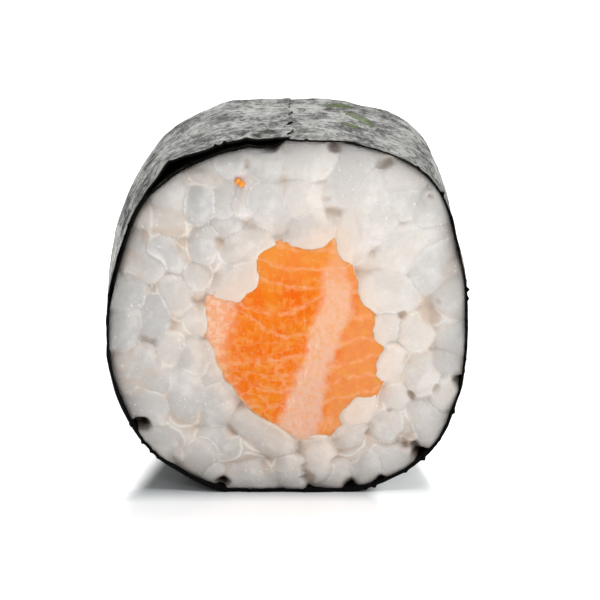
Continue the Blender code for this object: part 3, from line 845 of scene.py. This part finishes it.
def riceDepth(points, wallGap, table, under, seed, fixed, end):
    # depth behind the knife's cut at each point of the sheet, and the values that paint it
    flat = points.reshape(-1, 3)
    # the grains' outlines wander a little
    (broadSize, broad), (fineSize, fine) = rice["wander"]
    x, z = (flat[:, axis] + (broad * softNoise(flat, broadSize, shift)
                             + fine * softNoise(flat, fineSize, fineShift))
            for axis, shift, fineShift in ((0, 3.0, 7.0), (2, 17.0, 12.0)))
    if end:
        smear = 0.35 + 0.9 * softNoise(flat, 6.0)
    else:
        smear = sum(weight * spot(x, z, centre, size) for centre, size, weight in rice["smeared"])
    smear = np.clip(smear, 0, 1)
    loose = 1 - 0.75 * smear
    gap, back = openGaps(() if end else rice["gaps"], x, z, softNoise(flat, 0.8, 33.0))
    fish = salmonPoint(np.array(0.0), float(end), 0.0)
    fishAngle = np.degrees(np.arctan2(z - fish[2], x - fish[0]))
    fishRadius = around(salmon["radii"], fishAngle - salmon["twist"] * end)
    lap = 0.3 if end else around(rice["lap"], fishAngle)
    fromFish = np.hypot(x - fish[0], z - fish[2]) - fishRadius + lap + 0.2 * softNoise(flat, 1.1, 50.0)
    outside = outsideGrains(x, z, table)
    rounded = np.minimum(-outside.min(axis=1), fromFish + rice["overlap"])
    bank = np.clip(1.1 - lap, 0, np.minimum(lap + 0.05, 0.55))
    besideFish = smoothStep(-0.2, 0.2, np.maximum(fromFish - bank, rounded))
    setBack, slopes, height, roundness, tone, glass = drawGrains(seed, len(table), fixed)

    # the depth of each of the nearest grains, as if the others were not there
    order = np.argpartition(outside, 4, axis=1)[:, :4]
    outside = np.take_along_axis(outside, order, axis=1)
    press = rice["fill"] * (1 - gap) * besideFish * (0.35 + 0.65 * (1 - 0.6 * loose))
    press = (press + 0.8 * np.exp(-wallGap / 0.9) * (1 - gap))[:, None]
    reach = table[order, 3] / 2 + press
    share = np.clip(1 + (outside - press) / reach, 0, 4)
    offset = np.stack([x, z], axis=-1)[:, None] - table[order, :2]
    depths = (setBack[order] + (slopes[order] * offset).sum(axis=2)
              + height[order] * (1 - np.sqrt(1 - 0.99 * np.minimum(share, 1) ** roundness[order]))
              + 2.6 * reach * np.maximum(share - 1, 0))
    rank = np.argsort(depths, axis=1)[:, :2]
    first, second = np.take_along_axis(order, rank, axis=1).T
    front, behind = np.take_along_axis(depths, rank, axis=1).T
    shareFirst = np.take_along_axis(share, rank, axis=1)[:, 0]
    step = behind - front
    blend = 0.1 + 0.25 * smear
    top = front - blend * np.clip(1 - step / blend, 0, 1) ** 2 / 4
    top = np.maximum(top, 0.0) * loose + 0.06 * (1 - loose)
    # a grain's shoulder, too, lies on the fish and not under it
    top = top * (1 - 0.8 * (1 - smoothStep(-0.2, 0.5, fromFish - lap)))

    # what shows between them: deeper grains, and behind these a floor
    underShare = np.clip(1 + outsideGrains(x, z, under).min(axis=1) / 1.1, 0, 1.4)
    below = rice["underDepth"] + 0.4 * underShare ** 2 + 2.2 * back + 0.7 * (1 - besideFish)
    floor = rice["floorDepth"] + 0.25 * softNoise(flat, 0.9, 8.0)
    depth = np.minimum(np.minimum(top, below), floor)
    depth = depth + 0.16 * (1 - np.clip(wallGap / 0.4, 0, 1)) ** 2
    depth = depth + 0.018 * softNoise(flat, 0.45, 5.0) + 0.035 * softNoise(flat, 1.6, 25.0)

    hollow = smoothStep(0.0, 0.3, top - below + 0.15)
    near = np.exp(-(step / 0.2) ** 2) * (1 - hollow)
    ahead = setBack[second] - setBack[first] + 0.15 * (tone[second] - tone[first])
    ahead = smoothStep(-0.05, 0.2, ahead)
    # painted shade: darker towards the left, beside the nori and a little lower down, unevenly
    shade = (0.44 - (x - 1.0) / 14 - (z - 15.0) / 90 + 0.4 * np.exp(-wallGap / 1.2)
             + 0.25 * softNoise(flat, 4.0, 60.0) - 0.3 * smoothStep(9.0, 2.0, z))
    edge = np.exp(-((shareFirst - 0.95) / 0.07) ** 2)
    glassy = glass[first] * (0.25 + 0.75 * loose) * (1 - 0.6 * smoothStep(0.5, -0.2, shade))
    values = {
        "riceTone": tone[first] * (0.3 + 0.7 * loose),
        "riceHeart": (1 - np.clip(shareFirst, 0, 1) ** 3) * glassy,
        # painted shade where a grain lies behind its neighbour
        "riceSeamShade": near * (1 - ahead) * loose,
        # painted shade in the gaps and hollows, stronger where they go deeper
        "riceGapShade": smoothStep(0.25, 0.65, depth) * (0.2 + 0.8 * np.maximum(gap, hollow)),
        # painted shade, near black, in gaps that go right back
        "riceDeepShade": smoothStep(1.2, 2.0, depth) * back,
        # painted highlight on the rim of the grain in front, and on the edges of hollows
        "riceRimHighlight": np.maximum(near * ahead, edge * hollow) * loose,
        "riceBlush": np.exp(-np.maximum(fromFish, 0) / 1.7),
        # painted shade over the grains
        "ricePaintedShade": np.clip(shade, 0, 1.3),
        # painted shade beside the nori wall, stronger on the left
        "riceWall": np.exp(-wallGap / 1.25) * (0.75 + 0.25 * smoothStep(6.0, -8.0, x)),
    }
    size = points.shape[:-1]
    return depth.reshape(size), {name: value.reshape(size) for name, value in values.items()}


def makeRiceMaterial():
    material, tree, surface = newMaterial("cookedRice", {
        "IOR": 1.38, "Specular IOR Level": 0.5, "Coat Roughness": 0.1, "Coat IOR": 1.34,
        "Subsurface Weight": 0.8, "Subsurface Radius": (1.0, 0.8, 0.64),
        "Subsurface Scale": 0.22 * mm})
    place = millimetres(tree)
    tone, grit = mottled(place, 2.2, 1.6), mottled(place, 0.6, 2.0)
    grainTone = between(painted(tree, "riceTone"), -1.0, 1.0)
    # beads of water that catch the light, gathered in clusters; their glints are painted into the
    # colour as well as shown by the coat
    film = moistened(drifted(place, 0.5, 0.7), 0.3, 0.18, 0.6)
    glintClusters = between(cloud(place, 3.0, 2.0), 0.42, 0.62, 0.05, 0.75)
    setInputs(surface, {
        # the colour carries painted shade and painted highlights over the grains' own tones
        "Base Color": layered(
            rice["white"], (painted(tree, "ricePaintedShade"), rice["paintedShade"]),
            (0.5, layered(rice["bluish"], (grainTone, rice["pinkish"]))),
            (times(painted(tree, "riceHeart"), 0.75), rice["heart"]),
            (between(tone["Broad"], 0.35, 1.0, 0.0, 0.45), rice["rim"]),
            (between(grit["Broad"], 0.5, 1.0, 0.0, 0.18), rice["heart"]),
            *((times(painted(tree, valueName), share), rice[colourName])
              for valueName, share, colourName in rice["painted"]),
            (times(film["Wet"], glintClusters), rice["rim"])),
        "Roughness": between(grit["Broad"], 0.2, 0.9, 0.26, 0.5),
        "Coat Weight": between(film["Wet"], 0.0, 0.6, 0.4, 1.0),
        "Normal": bumped(timesPlus(grit["Fine"], 0.35, film["Height"]), 0.35, 0.1)})
    return material


def riceEnd(end, degrees, rows):
    # the sheet of grains over one end, 0 for the shown cut and 1 for the far one
    along = float(end)
    standout = [] if end else [(*grain, 0.0) for grain in rice["standout"]]
    table = np.array(scatterGrains(rice["seeds"][end], along, list(standout)))
    under = np.array(scatterGrains(rice["underSeeds"][end], along, []))
    atAngle, width, extra = rice["longReach"]
    reach = rice["reach"] + extra * np.exp(-((np.mod(degrees, 360.0) - atAngle) / width) ** 2)
    if end:
        reach = rice["farReach"]
    else:
        table = clearGaps(table, len(standout))
    inner = salmonPoint(degrees, along, 1.0, -reach)
    outer = riceWall(degrees, along, roll["clearance"] + rice["wallOverlap"])
    shares = np.linspace(0, 1, rows)[:, None, None]
    sheet = inner + (outer - inner) * shares
    wallGap = np.linalg.norm((outer - inner)[..., [0, 2]], axis=-1)[None] * (1 - shares[..., 0])
    inwards = -1 if end else 1
    sheet[..., 1] = -inwards * (roll["length"] / 2 - rice["recess"])
    depth, paint = riceDepth(sheet, wallGap.reshape(-1), table, under, rice["seeds"][end],
                             len(standout), end)
    # steep sides would show the mesh as steps
    depth = (2 * depth + np.roll(depth, 1, axis=1) + np.roll(depth, -1, axis=1)) / 4
    depth[1:-1] = (2 * depth[1:-1] + depth[:-2] + depth[2:]) / 4
    sheet[..., 1] += inwards * depth
    print(f"rice end {end}: {len(table)} grains")
    return sheet, paint


def makeRice():
    coarser = 1
    steps = rice["stepsAround"] // coarser
    degrees = np.arange(steps) * 360.0 / steps
    (front, frontPaint), (back, backPaint) = (
        riceEnd(end, degrees, rice["rows"][end] // coarser) for end in (0, 1))
    levels = np.linspace(0.16, 0.84, 5)[:, None]
    wall = riceWall(degrees[None], levels, roll["clearance"] - 0.1)
    wall[..., 1] = (levels - 0.5) * roll["length"]
    bore = salmonPoint(degrees[None], levels[::-1], 1.0, roll["clearance"])
    bore[..., 1] = (levels[::-1] - 0.5) * roll["length"]
    grid = np.concatenate([front, wall, back[::-1], bore])
    plain = np.zeros(wall.shape[:2])
    paint = {name: np.concatenate([frontPaint[name], plain, backPaint[name][::-1], plain])
             for name in frontPaint}
    faces = gridFaces(len(grid), steps, True, True)
    buildPiece("riceGrains", grid, faces, makeRiceMaterial(), "rice", paint)


# A crumb of roe colour on the rice

crumb = {
    "place": (-3.3, -13.28, 26.45),
    "lumps": ((-0.12, 0.0, 0.12, 0.26), (0.14, 0.0, -0.08, 0.29)),
    "uneven": 0.35,
    "mesh": (15, 24),
    "colour": (0.95, 0.4, 0.012),
}


def makeCrumb():
    material, tree, surface = newMaterial("orangeCrumb", {
        "Roughness": 0.3, "Coat Weight": 0.3, "Coat Roughness": 0.1,
        "Subsurface Weight": 0.3, "Subsurface Radius": (1.0, 0.4, 0.1), "Subsurface Scale": 0.3 * mm})
    tone = mottled(millimetres(tree), 0.4, 1.6)["Broad"]
    setInputs(surface, {"Base Color": layered(crumb["colour"], (tone, salmon["deep"]))})
    rings, columns = crumb["mesh"]
    polar = np.linspace(0.12, math.pi - 0.12, rings)[:, None]
    turn = np.arange(columns)[None] * math.tau / columns
    ball = np.stack([np.sin(polar) * np.cos(turn), np.sin(polar) * np.sin(turn),
                     np.cos(polar) * np.ones_like(turn)], axis=-1)
    points, faces = [], []
    for x, y, z, radius in crumb["lumps"]:
        lump = np.array(crumb["place"]) + np.array((x, y, z))
        uneven = 1 + crumb["uneven"] * softNoise(ball * 2 + lump, 1.0)
        shape = lump + ball * radius * uneven[..., None]
        start = sum(len(part) for part in points)
        points.append(np.concatenate([shape.reshape(-1, 3), shape[[0, -1]].mean(axis=1)]))
        faces += [[corner + start for corner in face] for face in ringFaces(rings, columns)]
    buildPiece("orangeCrumb", np.concatenate(points), faces, material)


# Floor, light and camera

studio = {
    "floorSize": 3.0,
    "floorColour": (0.86, 0.885, 0.9),
    # the grey of the painted shadow under and around the roll
    "floorShadow": (0.52, 0.55, 0.57),
    # the table glows, a painted light, and is painted grey as a shadow round the roll; it fades to pure
    # white a short way to the sides of the roll and a longer way before it
    "floorGlow": 0.8,
    "glowMiddle": 0.0003,
    "glowAside": (0.0092, 0.0114),
    "glowRight": (0.0068, 0.0088, 0.0, 0.55),  # the table is lighter on the side that faces the light
    "glowAhead": ((0.0138, 0.0168, 0.33), (0.0168, 0.034, 0.67)),
    "glowWidening": (0.18, 0.012, 0.8),  # of the strip; where its soft edge widens too, and how fast
    "shadowAhead": (0.0122, 0.015),
    "surroundings": (0.03, 0.5),  # away from the bright side of the room and towards it
    "brightSide": (0.45, -0.3, 0.75),
    "behind": (0.7, 0.97, 0.0, 1.3),  # the room brightens far behind the roll
    "backdrop": 1.2,
    "cameraPlace": (0.856, -180.08, 54.22),
    "pitch": 12.7,
    "yaw": 0.271,
    "focalPixels": 2063.3,
    "imageWidth": 600,
    # soft boxes: place, width and height in metres, and power
    "lights": {
        "keyLight": ((0.1, -0.14, 0.42), (0.13, 0.13), 0.76),
        "sparkleLight": ((0.06, -0.4, 0.25), (0.03, 0.03), 0.2),
        "backLight": ((0.05, 0.34, 0.19), (0.9, 0.16), 0.54),
    },
}


def makeFloor():
    size = studio["floorSize"]
    mesh = bpy.data.meshes.new("floor")
    corners = [(-size, -size, 0), (size, -size, 0), (size, size, 0), (-size, size, 0)]
    mesh.from_pydata(corners, [], [(0, 1, 2, 3)])
    material, tree, surface = newMaterial("whiteTable", {
        "Roughness": 0.16, "IOR": 1.45, "Specular IOR Level": 0.2,
        "Emission Color": (1.0, 1.0, 1.0, 1.0)})
    place = addNode(tree, "TexCoord").outputs["Object"]
    apart = follow("SeparateXYZ", {0: place})
    aside = calculate("ABSOLUTE", calculate("SUBTRACT", apart["X"], studio["glowMiddle"]))
    ahead = calculate("ABSOLUTE", apart["Y"])
    near, far = (between(ahead, first, last, 0.0, share)
                 for first, last, share in studio["glowAhead"])
    # the painted shadow strip under the roll widens towards its ends, and its soft edge does beyond
    # them
    inner, outer = studio["glowAside"]
    widening, fadeFrom, fade = studio["glowWidening"]
    beyond = calculate("MAXIMUM", calculate("SUBTRACT", ahead, fadeFrom), 0.0)
    beside = between(timesPlus(ahead, -widening, aside), inner, timesPlus(beyond, fade, outer))
    away = calculate("MAXIMUM", beside, calculate("ADD", near, far))
    away = calculate("MAXIMUM", away, between(apart["X"], *studio["glowRight"]))
    clear = calculate("MAXIMUM", beside, between(ahead, *studio["shadowAhead"]))
    # the glow is painted light; the darker base colour near the roll is a painted shadow
    setInputs(surface, {
        "Emission Strength": times(away, studio["floorGlow"]),
        "Base Color": layered(studio["floorShadow"], (clear, studio["floorColour"]))})
    mesh.materials.append(material)
    floor = addObject("floor", mesh)


def addSoftbox(name, place, size, power):
    lamp = bpy.data.lights.new(name, "AREA")
    lamp.shape = "RECTANGLE"
    lamp.size, lamp.size_y = size
    lamp.energy = power
    box = addObject(name, lamp)
    box.location = place
    aim = Vector((0, 0, roll["middleZ"] * mm)) - Vector(place)
    box.rotation_euler = aim.to_track_quat("-Z", "Y").to_euler()


def makeRoom():
    # pale surroundings, brighter on one side and behind, that the camera itself sees as white
    room = bpy.data.worlds.new("paleRoom")
    room.use_nodes = True
    tree = room.node_tree
    outward = addNode(tree, "TexCoord").outputs["Generated"]
    bright = Vector(studio["brightSide"]).normalized()
    towards = follow("VectorMath", {0: outward, 1: bright}, operation="DOT_PRODUCT")["Value"]
    behind = follow("SeparateXYZ", {0: outward})["Y"]
    ambient = calculate("ADD", between(towards, -0.5, 1.0, *studio["surroundings"]),
                        between(behind, *studio["behind"]))
    seen = addNode(tree, "LightPath").outputs["Is Camera Ray"]
    strength = calculate("MAXIMUM", ambient, times(seen, studio["backdrop"]))
    setInputs(tree.nodes["Background"], {"Color": (1.0, 1.0, 1.0, 1.0), "Strength": strength})
    bpy.context.scene.world = room


def placeCamera():
    lens = bpy.data.cameras.new("camera")
    lens.sensor_width = 36.0
    lens.lens = studio["focalPixels"] / studio["imageWidth"] * lens.sensor_width
    lens.clip_start, lens.clip_end = 0.01, 20.0
    camera = addObject("camera", lens)
    camera.location = Vector(studio["cameraPlace"]) * mm
    camera.rotation_euler = (math.radians(90 - studio["pitch"]), 0.0, -math.radians(studio["yaw"]))
    bpy.context.scene.camera = camera


def makeStudio():
    bpy.context.scene.view_settings.view_transform = "Standard"
    makeRoom()
    makeFloor()
    for name, settings in studio["lights"].items():
        addSoftbox(name, *settings)
    placeCamera()
    print("studio ready")


makeStudio()
makeNori()
makeSalmon()
makeRice()
makeCrumb()
